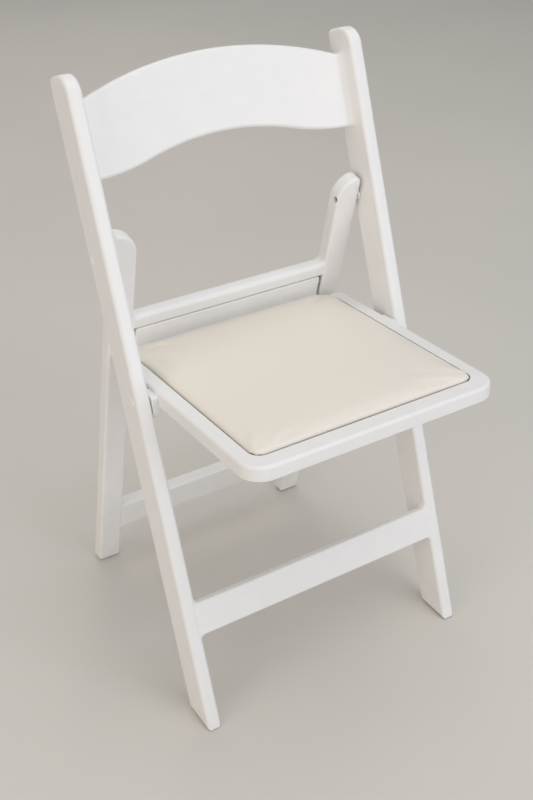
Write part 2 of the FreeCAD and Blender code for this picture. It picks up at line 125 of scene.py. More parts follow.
def colour(name, text, code):
    """A colour setting."""
    return bpy.props.FloatVectorProperty(name=name, description=text, default=srgb(code)[:3],
                                         size=3, min=0, max=1, subtype="COLOR")


class ChairFrameSizes(bpy.types.PropertyGroup):
    """Roundings of the moulded side members and cross boards."""

    rail_edge: length("Rail edge", "Rounding of the front rails' long edges", 5 * MM)
    rail_nose: length("Rail nose", "Radius of the rail's front top corner", 26 * MM)
    rail_heel: length("Rail heel", "Radius of the rail's back top corner", 8 * MM)
    leg_edge: length("Leg edge", "Rounding of the rear legs' long edges", 4 * MM)
    leg_shoulder: length("Leg shoulder", "Radius of the leg's inner top corner", 33 * MM)
    leg_crown: length("Leg crown", "Radius of the leg's outer top corner", 9 * MM)
    leg_toe: length("Leg toe", "Radius of a rear foot's corners seen from the front", 6 * MM)
    foot_edge: length("Foot edge", "Rounding where a foot meets the floor", 1.6 * MM)
    back_edge: length("Back edge", "Rounding of the back panel's long edges", 4.5 * MM)
    back_blend: length("Back blend", "Blend of the back panel's face into the rails", 10 * MM)
    board_edge: length("Board edge", "Rounding of the stretchers' long edges", 3 * MM)
    board_blend: length("Board blend", "Blend of a stretcher into its side members", 8 * MM)
    cross_edge: length("Cross edge", "Rounding of the cross rail's top edges", 7 * MM)
    cross_blend: length("Cross blend", "Blend of the cross rail's top into the legs", 8 * MM)


class ChairSeatSizes(bpy.types.PropertyGroup):
    """Sizes of the seat shell and its cushion."""

    rim_edge: length("Rim edge", "Rounding of the seat's top edge", 4 * MM)
    skirt_edge: length("Skirt edge", "Rounding of the seat's bottom edge", 2.2 * MM)
    recess_edge: length("Recess edge", "Rounding where the rim falls into the recess", 0.9 * MM)
    cushion_start: length("Cushion start", "How far inside its outline the cushion starts", 1.1 * MM)
    cushion_edge: length("Cushion edge", "Rounding of the cushion's top edge", 4.5 * MM)
    cushion_fall: length("Cushion fall", "How far the cushion's top drops to its border", 1.8 * MM)
    cushion_pull: length("Cushion pull", "How far its sides draw in between corners", 0.5 * MM)
    cushion_crown: length("Cushion crown", "Rise of the cushion's middle over its edge", 3.4 * MM)


class ChairColours(bpy.types.PropertyGroup):
    """Colours of the chair and of the floor that it stands on."""

    resin: colour("Resin", "White of the moulded frame and seat", "#EFEDEA")
    vinyl: colour("Vinyl", "Cream of the cushion cover", "#F1E9DC")
    fittings: colour("Fittings", "White of the hinge blocks, washers and bushes", "#F1F0EE")
    enamel: colour("Enamel", "White of the pin heads", "#FCFBF8")
    glides: colour("Glides", "Tan of the foot glides", "#C9A56B")
    floor: colour("Floor", "Pale floor under the chair", "#D8D3CA")


# ---------------------------------------------------------------- surfaces
def round_off(distance, radius):
    """How far a face has drawn in at a distance from its rounded end.

    Formula: radius - sqrt(radius^2 - (radius - distance)^2) inside the rounding
    and nothing beyond it. The same curve is the growth of a hollow blend.
    """
    if radius <= 0:
        return 0 * distance
    gap = np.clip(radius - distance, 0, radius)
    return radius - np.sqrt(radius ** 2 - gap ** 2)


def quarter(radius, turns):
    """Distances from an end that cut its rounding at equal angles: radius * (1 - cos a)."""
    return radius * (1 - np.cos(np.linspace(0, math.pi / 2, turns + 1)))


def loft(rings, closed=True):
    """Points and faces of a surface through rings of equal length, with flat ends if closed."""
    count, size = rings.shape[:2]
    row = np.arange(count - 1)[:, None] * size
    here = np.arange(size)
    after = (here + 1) % size
    quads = np.stack([row + here, row + after, row + size + after, row + size + here], -1)
    faces = quads.reshape(-1, 4).tolist()
    if closed:
        last = (count - 1) * size
        faces += [here[::-1].tolist(), (last + here).tolist()]
    return rings.reshape(-1, 3), faces


def capped(rings):
    """Surface through rings with a flat end at the last ring only."""
    points, faces = loft(rings)
    return points, faces[:-2] + faces[-1:]


def turned(profile, closed=True, turns=40):
    """Solid of revolution about z: each (height, radius) of the profile is swept round the axis.

    A profile that ends where it starts makes a ring and has no flat ends.
    """
    angle = np.linspace(0, 2 * math.pi, turns, endpoint=False)
    height, radius = np.array(profile, float).T[:, :, None]
    rings = np.stack([radius * np.cos(angle), radius * np.sin(angle), height + 0 * angle], -1)
    return loft(rings, closed)


def outline(arcs, inset=0.0, turns=10):
    """Closed outline through arcs joined by straight lines, drawn in by inset.

    An arc is (centre u, centre w, radius, first angle, last angle). Arcs that turn
    left bulge: drawn in, they shrink, and past their radius the corner moves back
    along its middle direction by (inset - radius) / cos(half the turn). Arcs that
    turn right are hollow and grow.
    """
    runs = []
    for u, w, radius, first, last in arcs:
        angle = np.radians(np.linspace(first, last, turns + 1))
        reach = radius - math.copysign(inset, last - first)
        if reach < 0:
            middle = math.radians(0.5 * (first + last))
            back = reach / math.cos(math.radians(0.5 * (last - first)))
            u, w, reach = u + back * math.cos(middle), w + back * math.sin(middle), 0.01 * MM
        runs.append(np.stack([u + reach * np.cos(angle), w + reach * np.sin(angle)], 1))
    return np.concatenate(runs)


def wall(arcs, insets, heights, turns=10):
    """Rings that follow one outline, each drawn in by its inset and set at its height."""
    rings = [outline(arcs, i, turns) for i in insets]
    return np.stack([np.column_stack([r, np.full(len(r), h)]) for r, h in zip(rings, heights)])


def plate(arcs, low, high, low_edge, high_edge, turns=10, edge_turns=5):
    """Rings of a flat plate from low to high with quarter-round edges.

    At angle a of an edge the outline is drawn in by edge * (1 - sin a) and stands
    edge * (1 - cos a) above the face. A ring just inside each face keeps it flat.
    """
    rise = np.linspace(0, math.pi / 2, edge_turns + 1)
    inset_low, up_low = low_edge * (1 - np.sin(rise)), low + low_edge * (1 - np.cos(rise))
    inset_high, up_high = high_edge * (1 - np.sin(rise)), high - high_edge * (1 - np.cos(rise))
    insets = [low_edge + 0.6 * MM, *inset_low, *inset_high[::-1], high_edge + 0.6 * MM]
    return wall(arcs, insets, [low, *up_low, *up_high[::-1], high], turns)


def corners(low_u, high_u, low_w, high_w, low_radius, high_radius):
    """Arcs of a rectangle with one corner radius at its low side and one at its high side."""
    return [
        (low_u + low_radius, low_w + low_radius, low_radius, 180, 270),
        (high_u - low_radius, low_w + low_radius, low_radius, 270, 360),
        (high_u - high_radius, high_w - high_radius, high_radius, 0, 90),
        (low_u + high_radius, high_w - high_radius, high_radius, 90, 180),
    ]


def board(x, u_low, u_high, w_low, w_high, edge, under=None, turns=6):
    """Rings of a bar across the chair whose section changes along x.

    Each ring is four quarter circles about the corners of the rectangle
    u_low..u_high (depth) by w_low..w_high (height), drawn in by the edge radius,
    or by the radius called under at the two lower corners.
    """
    x, u_low, u_high, w_low, w_high = np.broadcast_arrays(x, u_low, u_high, w_low, w_high)
    angle = np.radians(np.concatenate([np.linspace(q, q + 90, turns + 1) for q in (0, 90, 180, 270)]))
    part = np.arange(len(angle)) // (turns + 1)
    behind, upper = np.isin(part, (0, 3)), part < 2
    edge = np.where(upper, edge, edge if under is None else under)
    u = np.where(behind, u_high[:, None] - edge, u_low[:, None] + edge) + edge * np.cos(angle)
    w = np.where(upper, w_high[:, None] - edge, w_low[:, None] + edge) + edge * np.sin(angle)
    return np.stack([np.broadcast_to(x[:, None], u.shape), u, w], -1)


def span(half, reach, *radii):
    """Places across the chair from one side member to the other, close together in the blends."""
    near = np.concatenate([[-reach, 0], *[quarter(r, 9) for r in radii], np.linspace(20 * MM, half, 20)])
    return np.unique(np.round(np.concatenate([near - half, half - near]), 7))


def arch(x, half, end, middle):
    """Circular arch: height end at x = +-half and height middle at x = 0."""
    rise = middle - end
    radius = (half ** 2 + rise ** 2) / (2 * abs(rise))
    reach = np.clip(np.abs(x), 0, half)
    return middle + math.copysign(1, rise) * (np.sqrt(radius ** 2 - reach ** 2) - radius)


def ogee(x, half, end, middle, radius):
    """Arch of the given radius whose ends curve back to run level at x = +-half.

    The two circles touch at x = half * radius / both, where both is the sum of
    their radii: (half^2 + rise^2) / (2 * rise).
    """
    rise = middle - end
    both = (half ** 2 + rise ** 2) / (2 * rise)
    reach = np.clip(np.abs(x), 0, half)
    other = both - radius
    inner = middle - radius + np.sqrt(radius ** 2 - np.minimum(reach, radius) ** 2)
    outer = end + other - np.sqrt(other ** 2 - np.minimum(half - reach, other) ** 2)
    return np.where(reach < half * radius / both, inner, outer)


def flared(rings, half, edge, low_blend, high_blend):
    """Let a board's lower and upper edges run out into the members at its ends.

    A member's own rounded edge draws its face back by edge - sqrt(edge^2 - t^2) at a
    depth t short of the rounding's end, so the blend starts that much further out.
    """
    x, depth, height = rings[..., 0], rings[..., 1], rings[..., 2]
    front = depth.min(axis=1, keepdims=True)
    short = np.clip(edge - (depth - front), 0, 0.98 * edge)
    gap = half + edge - np.sqrt(edge ** 2 - short ** 2) - np.abs(x)
    upper = height > 0.5 * (height.min(axis=1, keepdims=True) + height.max(axis=1, keepdims=True))
    shift = np.where(upper, round_off(gap, high_blend), -round_off(gap, low_blend))
    return np.stack([x, depth, height + shift], -1)


def ring_between(outer, inner):
    """Flat face between two level loops, as triangles."""
    loops = [list(map(Vector, outer)), list(map(Vector, inner))]
    return np.concatenate([outer, inner]), list(map(list, tessellate_polygon(loops)))


def join(*shells):
    """Several point and face sets as one."""
    points, faces, start = [], [], 0
    for some, others in shells:
        points.append(some)
        faces += [[start + i for i in face] for face in others]
        start += len(some)
    return np.concatenate(points), faces


def moved(shell, x=0.0, y=0.0, z=0.0, scale=(1, 1, 1), order=(0, 1, 2)):
    """The same shell with its axes taken in another order, scaled, and carried to a place."""
    points, faces = shell
    return points[:, list(order)] * scale + [x, y, z], faces


def across(profile, centre, closed=True, turns=40):
    """Solid of revolution about the line across the chair through a centre."""
    return moved(turned(profile, closed, turns), 0, centre.y, centre.z, order=(2, 0, 1))


# ---------------------------------------------------------------- pieces
def new_mesh(name, shell):
    """A mesh with smooth faces that all point outwards and crisp creases over 35 degrees."""
    points, faces = shell
    mesh = bpy.data.meshes.new(name)
    mesh.from_pydata(points.tolist(), [], faces)
    work = bmesh.new()
    work.from_mesh(mesh)
    bmesh.ops.remove_doubles(work, verts=work.verts, dist=0.004 * MM)
    bmesh.ops.dissolve_degenerate(work, edges=work.edges, dist=0.002 * MM)
    bmesh.ops.recalc_face_normals(work, faces=work.faces)
    work.to_mesh(mesh)
    work.free()
    shade(mesh)
    return mesh


def shade(mesh):
    """Smooth shading with creases kept."""
    mesh.polygons.foreach_set("use_smooth", np.ones(len(mesh.polygons), bool))
    mesh.set_sharp_from_angle(angle=math.radians(35))


def link(name, mesh):
    """An object at the origin, shown in the scene."""
    thing = bpy.data.objects.new(name, mesh)
    bpy.context.scene.collection.objects.link(thing)
    return thing


def leaned(shell, body):
    """A shell taken from the upright frame of a body to the chair's."""
    points, faces = shell
    return points @ turn_matrix(body).T, faces


def add_piece(name, shell, body, node, material):
    """A finished piece in the chair's frame, which stands for its CAD node and rides on its body."""
    thing = link(name, new_mesh(name, shell))
    thing.data.materials.append(material)
    even = thing.modifiers.new("even shading", "WEIGHTED_NORMAL")
    even.keep_sharp = True
    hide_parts(node)
    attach(thing, body)
    return thing


def add_pair(name, shell, body, node, material):
    """The right-hand piece and its mirror image on the left, left one first."""
    return [add_piece(f"{side}_{name}", moved(shell, scale=(sign, 1, 1)), body, f"{side}_{node}",
                      material) for side, sign in SIDES.items()]


def middle_of(node):
    """Middle and half size of a CAD node's box."""
    low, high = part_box(node)
    return 0.5 * (low + high), 0.5 * (high - low)


def cut(thing, *tools):
    """Take tool shapes out of a piece, once, and keep the result as its mesh."""
    for shell in tools:
        tool = link("tool", new_mesh("tool", shell))
        step = thing.modifiers.new("cut", "BOOLEAN")
        step.operation = "DIFFERENCE"
        step.solver = "EXACT"
        step.object = tool
        bpy.context.view_layer.update()
        looks = thing.evaluated_get(bpy.context.evaluated_depsgraph_get())
        done = bpy.data.meshes.new_from_object(looks)
        thing.modifiers.remove(step)
        thing.data = done
        bpy.data.objects.remove(tool)
    shade(thing.data)
    return thing


def levelled(rings, body):
    """Stand an upright member on a level foot.

    In the upright frame a level plane falls by depth * tan(turn), so each point is
    moved by that much, fading out over the member's lowest 80 mm.
    """
    slope = math.tan(math.radians(TURN[body]))
    depth = rings[..., 1]
    fade = np.clip(1 - (rings[..., 2] - rings[..., 2].min()) / (80 * MM), 0, 1)
    shift = -slope * (depth - 0.5 * (depth.min() + depth.max())) * fade
    return rings + shift[..., None] * np.array([0, 0, 1])


def foot_height(node, body):
    """Upright height of a member's foot under the middle of its depth."""
    low, high = upright_box(node, body)
    turn = math.radians(TURN[body])
    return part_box(node)[0].z / math.cos(turn) - math.tan(turn) * 0.5 * (low[1] + high[1])


def build_front_rails(sizes, material):
    """Front rails: a plate whose outline in depth and height has the nose and heel arcs."""
    for side in SIDES:
        node = f"{side}_rail"
        low, high = upright_box(node, "front_frame")
        base = foot_height(node, "front_frame")
        nose, heel, toe = sizes.rail_nose, sizes.rail_heel, sizes.foot_edge
        arcs = [
            (low[1] + toe, base + toe, toe, 180, 270),
            (high[1] - toe, base + toe, toe, 270, 360),
            (high[1] - heel, high[2] - heel, heel, 0, 90),
            (low[1] + nose, high[2] - nose, nose, 90, 180),
        ]
        rings = plate(arcs, low[0], high[0], sizes.rail_edge, sizes.rail_edge, 14)[..., [2, 0, 1]]
        shell = leaned(loft(levelled(rings, "front_frame")), "front_frame")
        add_piece(f"{node}_moulding", shell, "front_frame", node, material)


def build_back_panel(sizes, material):
    """Back panel: both edges and the face are arches, and every side flares into the rails."""
    low, high = upright_box("backrest", "front_frame")
    rail_low, _ = upright_box("right_rail", "front_frame")
    half, flare, blend = high[0], sizes.board_blend, sizes.back_blend
    x = span(half, 3 * MM, flare, blend)
    gap = half - np.abs(x)
    front = rail_low[1] + BACK_SET + arch(x, half, 0, BACK_BOW)
    rings = board(
        x,
        front - round_off(gap, blend),
        front + BACK_THICK + round_off(gap, 4 * MM),
        ogee(x, half, low[2], low[2] + BACK_LOW_RISE, BACK_LOW_RADIUS),
        arch(x, half, high[2] - BACK_HIGH_RISE, high[2]),
        sizes.back_edge,
    )
    rings = flared(rings, half, 0.01 * MM, 0.5 * flare, flare)
    add_piece("back_panel_moulding", leaned(loft(rings), "front_frame"), "front_frame", "backrest",
              material)


def build_board(name, node, body, material, edges, member_edge, blends, flares):
    """Board between two side members whose lower and upper edges flare into them.

    Edges, blends and flares are pairs, the lower one first. The flares are those that the
    CAD node already has, so the board's own edges lie that far inside its box.
    """
    low, high = upright_box(node, body)
    half = high[0]
    x = span(half + member_edge, 0.5 * MM, member_edge, *(blend + member_edge for blend in blends))
    rings = board(x, low[1] + 0 * x, high[1], low[2] + flares[0], high[2] - flares[1], edges[1], edges[0])
    rings = flared(rings, half, member_edge, *blends)
    add_piece(name, leaned(loft(rings), body), body, node, material)


def build_rear_legs(sizes, material):
    """Rear legs: a plate whose front outline closes over two arcs that touch inside each other.

    The wide shoulder arc ends where the line through both centres meets the small
    crown arc. Each leg has its pin bore and the slide groove cut in its inner face.
    """
    pin = middle_of("right_leg_pin")[0]
    low, high = upright_box("right_rear_leg", "rear_frame")
    base = foot_height("right_rear_leg", "rear_frame")
    toe, shoulder, crown = sizes.leg_toe, sizes.leg_shoulder, sizes.leg_crown
    crown_u, crown_w = high[0] - crown, high[2] - crown
    offset = crown_u - (low[0] + shoulder)
    drop = math.sqrt((shoulder - crown) ** 2 - offset ** 2)
    meet = math.degrees(math.atan2(drop, offset))
    arcs = [
        (low[0] + toe, base + toe, toe, 180, 270),
        (high[0] - toe, base + toe, toe, 270, 360),
        (crown_u, crown_w, crown, 0, meet),
        (low[0] + shoulder, crown_w - drop, shoulder, meet, 180),
    ]
    rings = plate(arcs, low[1], high[1], sizes.leg_edge, sizes.leg_edge, 14)[..., [0, 2, 1]]
    shell = leaned(loft(levelled(rings, "rear_frame")), "rear_frame")
    # The pin's recess widens at its mouth; the slide groove is 11 mm wide and 6 mm deep.
    mouth, recess, groove, turn = 4.8 * MM, 4.1 * MM, 5.5 * MM, 5.4 * MM
    hole = [(-3 * MM, mouth), (0, mouth), (0.7 * MM, recess), (6 * MM, recess)]
    bore = across(hole, pin)
    rod = 0.5 * np.add(*upright_box("slide_rod", "rear_frame"))
    slot = corners(rod[1] - groove, rod[1] + groove, rod[2] - GROOVE_DOWN, rod[2] + GROOVE_UP, turn, turn)
    slot = leaned(loft(wall(slot, [0, 0], [-3 * MM, 6 * MM])[..., [2, 0, 1]]), "rear_frame")
    legs = add_pair("rear_leg_moulding", shell, "rear_frame", "rear_leg", material)
    for leg, sign in zip(legs, SIDES.values()):
        place = {"x": sign * low[0], "scale": (sign, 1, 1)}
        cut(leg, moved(bore, **place), moved(slot, **place))


def build_seat_shell(sizes, material):
    """Seat shell: one closed skin of outline rings, with the ribs and screw posts under it.

    Rings follow the outer outline up the skirt and over the rim, and the recess
    outline down to its floor. Underneath they follow the pocket's outline up to
    its ceiling. Level faces between unlike outlines are filled with triangles.
    """
    low, high = upright_box("seat_pan", "seat")
    pad_low, pad_high = upright_box("cushion", "seat")
    half, front, top, under = high[0], low[1], high[2], low[2]
    shoulder = front + SEAT_SHOULDER
    tail, end = SEAT_TAIL, upright_box("seat_lip", "seat")[0][1] + 22 * MM
    turn, rear = SEAT_CORNER, SEAT_REAR_CORNER
    outer = [
        (turn - half, front + turn, turn, 180, 270),
        (half - turn, front + turn, turn, 270, 360),
        (half - rear, shoulder - rear, rear, 0, 90),
        (tail + 3 * MM, shoulder + 3 * MM, 3 * MM, 270, 180),
        (tail - 2 * MM, end - 2 * MM, 2 * MM, 0, 90),
        (2 * MM - tail, end - 2 * MM, 2 * MM, 90, 180),
        (-tail - 3 * MM, shoulder + 3 * MM, 3 * MM, 0, -90),
        (rear - half, shoulder - rear, rear, 90, 180),
    ]
    gap = RECESS_GAP
    recess = corners(-pad_high[0] - gap, pad_high[0] + gap, pad_low[1] - gap, pad_high[1] + gap,
                     PAD_FRONT_CORNER + gap, PAD_BACK_CORNER + gap)
    pocket_half, pocket_front, pocket_back = half - SEAT_WALL, front + SEAT_WALL, shoulder - SEAT_WALL
    pocket = corners(-pocket_half, pocket_half, pocket_front, pocket_back, SEAT_CORNER - SEAT_WALL, 4 * MM)
    rise = np.linspace(0, math.pi / 2, 6)
    rim, skirt, dip = sizes.rim_edge, sizes.skirt_edge, sizes.recess_edge
    floor_level, ceiling = top - RECESS, top - DECK
    outside = wall(
        outer,
        [*(skirt * (1 - np.sin(rise))), *(rim * (1 - np.sin(rise[::-1])))],
        [*(under + skirt * (1 - np.cos(rise))), *(top - rim * (1 - np.cos(rise[::-1])))],
    )
    inside = wall(recess, [*(-dip * (1 - np.sin(rise))), 0, 0.8 * MM],
                  [*(top - dip * (1 - np.cos(rise))), floor_level, floor_level])
    hollow = wall(pocket, [-0.8 * MM, *(0 * rise), 0.8 * MM, 1.4 * MM],
                  [under, *np.linspace(under + 0.8 * MM, ceiling - 0.8 * MM, 6), ceiling, ceiling])
    skin = join(
        loft(outside, False),
        ring_between(outside[-1], inside[0]),
        capped(inside),
        ring_between(outside[0], hollow[0]),
        capped(hollow),
    )
    ribs = []
    # The ribs bite this far into the skirt and the ceiling.
    bite = 0.5 * MM
    height = (under + 0.3 * MM, ceiling + bite)
    rib_x = np.array([-1, 1]) * (pocket_half + bite)
    rib_y = np.array([pocket_front - bite, pocket_back + bite])
    for share in np.arange(1, 5) / 5:
        y = pocket_front + share * (pocket_back - pocket_front)
        x = (2 * share - 1) * pocket_half
        ribs.append(loft(board(rib_x, y - RIB / 2, y + RIB / 2, *height, 0.7 * MM)))
        lengthways = board(rib_y, x - RIB / 2, x + RIB / 2, *height, 0.7 * MM)
        ribs.append(loft(lengthways[..., [1, 0, 2]]))
    post = [(ceiling + 0.5 * MM, 3.6 * MM), (ceiling + 0.5 * MM, 6.2 * MM), (under + 1 * MM, 6 * MM),
            (under + 0.3 * MM, 5.5 * MM), (under + 0.3 * MM, 4.2 * MM), (under + 1 * MM, 3.6 * MM),
            (ceiling + 0.5 * MM, 3.6 * MM)]
    posts = [moved(turned(post, False, 32), x, y) for x, y in screw_places()]
    add_piece("seat_shell_moulding", leaned(join(skin, *ribs, *posts), "seat"), "seat", "seat_pan",
              material)


def screw_places():
    """The four cushion screws, from the corners of the CAD screws' box."""
    low, high = upright_box("cushion_screws", "seat")
    return [(x, y) for x in (low[0] + SCREW_HEAD, high[0] - SCREW_HEAD)
            for y in (low[1] + SCREW_HEAD, high[1] - SCREW_HEAD)]


def build_lip(material):
    """Lip board across the back of the seat: a plate with small top corners.

    It stands square to the rear legs, so it is drawn in their upright frame.
    """
    low, high = upright_box("seat_lip", "rear_frame")
    arcs = corners(low[0], high[0], low[2], high[2], 1.5 * MM, 4 * MM)
    rings = plate(arcs, low[1], high[1], 1.6 * MM, 1.6 * MM, 8)[..., [0, 2, 1]]
    shell = leaned(loft(rings), "rear_frame")
    add_piece("seat_lip_moulding", shell, "seat", "seat_lip", material)


def build_hinge_blocks(material):
    """Hinge blocks: a thick plate with small corners on each side of the seat."""
    low, high = upright_box("right_hinge_block", "seat")
    arcs = corners(low[1], high[1], low[2], high[2], 3 * MM, 4.5 * MM)
    rings = plate(arcs, low[0] - 0.5 * MM, high[0], 0.4 * MM, 0.7 * MM, 6)[..., [2, 0, 1]]
    shell = leaned(loft(rings), "seat")
    add_pair("hinge_block_moulding", shell, "seat", "hinge_block", material)


def domed_head(low, high, radius, shank, end):
    """Profile of a pin: shank from end to low, then a shallow dome that falls to a rolled edge.

    The edge takes 0.6 of the rise and the dome above it is a parabola, 1 - (r / radius)^2.
    """
    rise = high - low
    r = radius * np.linspace(1, 0.02, 10)
    dome = [(low + 0.6 * rise + 0.4 * rise * (1 - (k / radius) ** 2), k) for k in r[1:]]
    return [(end, shank - 0.4 * MM), (end + 0.4 * MM, shank), (low, shank), (low, radius - 0.15 * MM),
            (low + 0.1 * rise, radius), (low + 0.45 * rise, radius), *dome]


def build_pins(material, shank):
    """Pins with low domed heads on the outer faces of the rails; only the heads are enamelled, and the shanks
    inside the rails are coloured dark as painted shade in the bores.
    """
    rail_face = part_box("right_rail")[1].x
    for name in ("leg_pin", "seat_pin"):
        centre, half = middle_of(f"right_{name}")
        profile = domed_head(rail_face, centre.x + half.x, half.z, PIN_SHANK, centre.x - half.x)
        pins = add_pair(f"{name}_head", across(profile, centre), "front_frame", name, material)
        for piece in pins:
            piece.data.materials.append(shank)
            centres = np.zeros(len(piece.data.polygons) * 3)
            piece.data.polygons.foreach_get("center", centres)
            # Faces inside the rails take the second material, the dark painted shade of the bore.
            inside = np.abs(centres[::3]) < rail_face - 1 * MM
            piece.data.polygons.foreach_set("material_index", inside.astype(int))


def build_washers(material):
    """Washers between legs and rails: a ring with rolled edges."""
    centre, half = middle_of("right_spacer")
    low, high, radius, bore, roll = centre.x - half.x, centre.x + half.x, half.z, 4.1 * MM, 0.5 * MM
    profile = [(low, bore), (low, radius - roll), (low + roll, radius), (high - roll, radius),
               (high, radius - roll), (high, bore), (low, bore)]
    add_pair("washer", across(profile, centre, False), "rear_frame", "spacer", material)


def build_slide(rod_material, bush_material):
    """Slide rod with bevelled ends, and the flanged bushes that run in the grooves."""
    centre, half = middle_of("slide_rod")
    end, bevel = half.x, 0.5 * MM
    face, shoulder = ROD_RADIUS - bevel, end - bevel
    profile = [(-end, face), (-shoulder, ROD_RADIUS), (shoulder, ROD_RADIUS), (end, face)]
    rod = across(profile, centre, turns=28)
    add_piece("slide_rod_bar", rod, "seat", "slide_rod", rod_material)
    start, outer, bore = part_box("right_rod_bush")[0].x, 5 * MM, ROD_RADIUS + 0.02 * MM
    profile = [(start, bore), (start, outer - 0.4 * MM), (start + 0.4 * MM, outer), (end - 0.9 * MM, outer),
               (end - 0.2 * MM, outer - 0.6 * MM), (end - 0.2 * MM, bore + 0.38 * MM), (shoulder, bore),
               (start, bore)]
    add_pair("slide_bush", across(profile, centre, False), "seat", "rod_bush", bush_material)


def build_glides(material):
    """Nail-on glides: a disc whose underside rolls up, with a ring moulded round its edge."""
    for place in ("front", "rear"):
        centre, half = middle_of(f"right_{place}_glide")
        top, radius = centre.z + half.z, half.x
        profile = [(top, 1.2 * MM), (3 * MM, 1.6 * MM), (1.5 * MM, 1.6 * MM), (1.5 * MM, radius - 0.2 * MM),
                   (1.2 * MM, radius), (0.7 * MM, radius), (0.3 * MM, radius - 0.3 * MM),
                   (0.05 * MM, radius - 1 * MM), (0, radius - 1.5 * MM), (0, 2.4 * MM), (0.4 * MM, 2.1 * MM),
                   (0.4 * MM, 0.3 * MM)]
        glide = moved(turned(profile), centre.x, centre.y)
        add_pair(f"{place}_glide_button", glide, f"{place}_frame", f"{place}_glide", material)


def build_underside(board_material, screw_material):
    """Hardboard under the foam and the four cross-recessed screws that hold it."""
    low, high = upright_box("cushion_board", "seat")
    arcs = corners(low[0], high[0], low[1], high[1], 15 * MM, 24 * MM)
    rings = plate(arcs, low[2], high[2], 0.4 * MM, 0.4 * MM, 10, 2)
    shell = leaned(loft(rings), "seat")
    add_piece("cushion_hardboard", shell, "seat", "cushion_board", board_material)
    under, top = (corner[2] for corner in upright_box("cushion_screws", "seat"))
    head, shank = under + 2.2 * MM, 1.7 * MM
    profile = [(under + 0.25 * MM, 0.1 * MM), (under, 1.2 * MM), (under + 0.15 * MM, 2.2 * MM),
               (under + 0.7 * MM, 3 * MM), (under + 1.4 * MM, SCREW_HEAD), (head, SCREW_HEAD), (head, shank),
               (top, shank)]
    screws = join(*[moved(turned(profile, turns=32), x, y) for x, y in screw_places()])
    thing = add_piece("cushion_screw_set", leaned(screws, "seat"), "seat", "cushion_screws",
                      screw_material)
    long, short, turn = 1.9 * MM, 0.35 * MM, 0.05 * MM
    for wide, deep in ((long, short), (short, long)):
        arms = [corners(x - wide, x + wide, y - deep, y + deep, turn, turn) for x, y in screw_places()]
        bars = [loft(wall(arm, [0, 0.1 * MM], [under - 1 * MM, under + 1.1 * MM], 2)) for arm in arms]
        cut(thing, leaned(join(*bars), "seat"))


# ---------------------------------------------------------------- cushion
def evened(thing, size):
    """Remesh a closed form into even cells; gives its points, one to a row."""
    even = thing.modifiers.new("even", "REMESH")
    even.mode = "VOXEL"
    even.voxel_size = size
    bpy.context.view_layer.update()
    looks = thing.evaluated_get(bpy.context.evaluated_depsgraph_get())
    thing.data = bpy.data.meshes.new_from_object(looks)
    thing.modifiers.remove(even)
    points = np.zeros(len(thing.data.vertices) * 3)
    thing.data.vertices.foreach_get("co", points)
    return points.reshape(-1, 3)


def swell(thing, rest, pressure, cap, held):
    """How far each point of a closed form travels when a cloth simulation blows it up.

    Points below the held height stay put, and a travel d is eased to cap * d / (cap + d).
    """
    scene = bpy.context.scene
    group = thing.vertex_groups.new(name="held")
    group.add(np.flatnonzero(rest[:, 2] < held).tolist(), 1.0, "REPLACE")
    cloth = thing.modifiers.new("cloth", "CLOTH")
    cloth.settings.use_pressure = True
    cloth.settings.uniform_pressure_force = pressure
    cloth.settings.vertex_group_mass = "held"
    cloth.settings.effector_weights.gravity = 0
    cloth.settings.quality = 6
    cloth.settings.tension_stiffness = 25
    cloth.settings.bending_stiffness = 1.5
    for number in range(1, 21):
        scene.frame_set(number)
    looks = thing.evaluated_get(bpy.context.evaluated_depsgraph_get())
    done = np.zeros(rest.size)
    looks.data.vertices.foreach_get("co", done)
    thing.modifiers.remove(cloth)
    thing.vertex_groups.remove(group)
    scene.frame_set(1)
    travel = done.reshape(-1, 3) - rest
    size = np.linalg.norm(travel, axis=1, keepdims=True)
    return travel * cap / (cap + size)


def build_cushion(sizes, material):
    """Cushion: a crowned pad that is swollen by a cloth simulation and trimmed to its groove.

    The top of the starting plate rises as crown * cos(pi x / 2 a) * cos(pi y / 2 b) and falls
    towards the border as max(|x / a|, |y / b|)^16; its sides pull in between the corners by the
    pull times |x / a|^8 * cos(pi y / 2 b), and the same the other way about.
    """
    low, high = upright_box("cushion", "seat")
    start = sizes.cushion_start
    arcs = corners(low[0] + start, high[0] - start, low[1] + start, high[1] - start,
                   PAD_FRONT_CORNER, PAD_BACK_CORNER)
    middle, reach = 0.5 * (low + high), 0.5 * (high - low)
    edge_top = high[2] - sizes.cushion_crown - 1.8 * MM
    rings = plate(arcs, low[2], edge_top, 1.2 * MM, sizes.cushion_edge, 12, 8)
    thing = link("seat_cushion_cover", new_mesh("seat_cushion_cover", loft(rings)))
    points = evened(thing, 4 * MM)
    share = ((points - middle) / reach)[:, :2].clip(-1, 1)
    wave = np.cos(0.5 * math.pi * share)
    rise = np.clip((points[:, 2] - low[2]) / (edge_top - low[2]), 0, 1)
    points = points + swell(thing, points, 4.0, 3.2 * MM, low[2] + 2.5 * MM)
    fall = np.abs(share).max(axis=1) ** 16
    points[:, 2] += (sizes.cushion_crown * wave.prod(axis=1) - sizes.cushion_fall * fall) * rise
    points = points.clip(low + [0.1 * MM, 0.1 * MM, 0], high + [-0.1 * MM, -0.1 * MM, 1.5 * MM])
    points[:, :2] -= sizes.cushion_pull * np.sign(share) * np.abs(share) ** 8 * wave[:, ::-1]
    thing.data.vertices.foreach_set("co", (points @ turn_matrix("seat").T).ravel())
    thing.data.update()
    thing.data.polygons.foreach_set("use_smooth", np.ones(len(thing.data.polygons), bool))
    fine = thing.modifiers.new("smooth cover", "SUBSURF")
    fine.levels = fine.render_levels = 1
    thing.data.materials.append(material)
    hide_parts("cushion")
    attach(thing, "seat")


